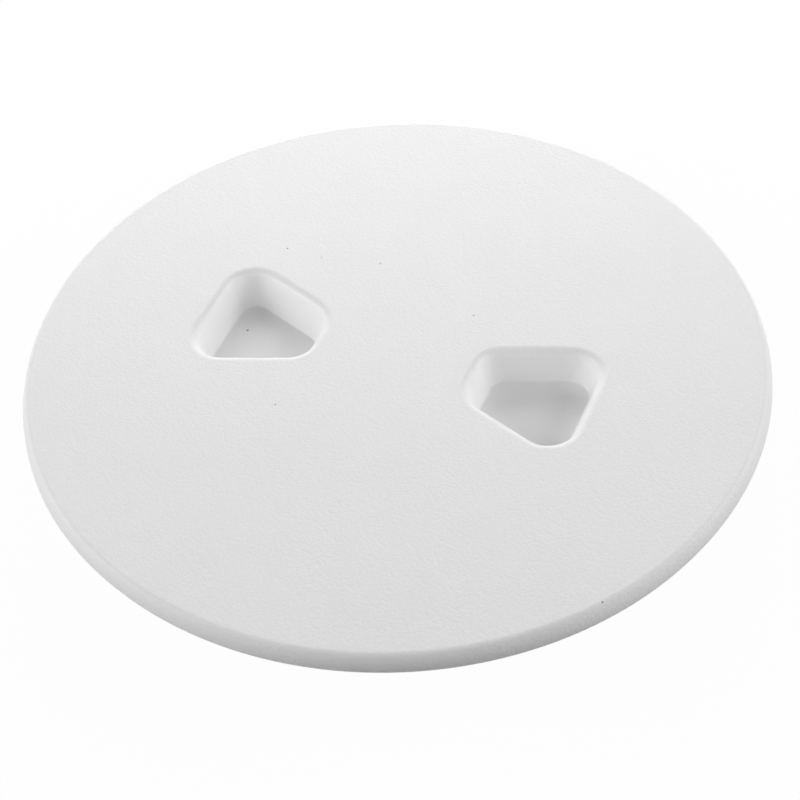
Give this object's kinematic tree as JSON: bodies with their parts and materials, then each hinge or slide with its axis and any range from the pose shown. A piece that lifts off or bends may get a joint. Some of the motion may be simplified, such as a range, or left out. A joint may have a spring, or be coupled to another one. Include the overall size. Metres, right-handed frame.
{
  "type": "deck inspection plate",
  "caption": "Round screw-in deck inspection cover with a grained top and two finger pockets, on a threaded ring with an O-ring seal.",
  "frame": {"origin": "centre of the screw circle on the deck's surface, which is the underside of the ring's flange", "axes": "+Z out of the deck along the screw thread's axis, X through the middle of both finger pockets"},
  "size_m": [0.2, 0.2, 0.0283],
  "materials": {
    "ring_plastic": "smooth moulded white plastic, satin",
    "cover_plastic": "white plastic, fine pebbled grain on the top and rim, smooth satin finger pockets",
    "seal_rubber": "matte black rubber"
  },
  "bodies": {
    "ring": {"deck_ring": "ring_plastic"},
    "seal": {"cover_seal": "seal_rubber"},
    "cover": {"cover": "cover_plastic"}
  },
  "joints": [
    {"name": "cover_rise", "type": "slide", "parent": "ring", "child": "seal", "axis": [0, 0, 1], "range_m": [0, 0.0075]},
    {"name": "cover_turn", "type": "hinge", "parent": "seal", "child": "cover", "pos_m": [0, 0, 0], "axis": [0, 0, 1], "range_deg": [0, 540]}
  ],
  "couplings": [
    {"joint": "cover_rise", "follows": "cover_turn", "m_per_rad": 0.00079577}
  ]
}
